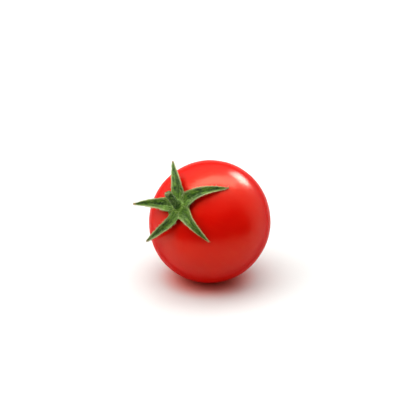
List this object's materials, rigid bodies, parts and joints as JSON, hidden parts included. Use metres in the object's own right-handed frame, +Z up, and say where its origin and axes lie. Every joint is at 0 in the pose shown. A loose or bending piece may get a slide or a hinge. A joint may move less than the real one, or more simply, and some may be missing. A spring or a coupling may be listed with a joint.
{
  "type": "cherry tomato",
  "caption": "Ripe red cherry tomato with its green calyx of pointed sepals and a short stub of stem, lying tilted on its shoulder.",
  "frame": {"origin": "middle of the small flat that the fruit rests on", "axes": "+Z up from the surface it rests on; the stem faces the -Y side, to the left (-X) and upwards"},
  "size_m": [0.0397, 0.0358, 0.0361],
  "materials": {
    "tomato_skin": "smooth glossy ripe red skin",
    "stem_green": "matt finely hairy dark green",
    "sepal_green": "matt finely hairy mid green with pale margins"
  },
  "bodies": {
    "root": {"fruit": "tomato_skin", "stem": "stem_green", "sepal_right": "sepal_green", "sepal_up": "sepal_green", "sepal_left": "sepal_green", "sepal_lower_left": "sepal_green", "sepal_lower_right": "sepal_green"}
  },
  "joints": []
}
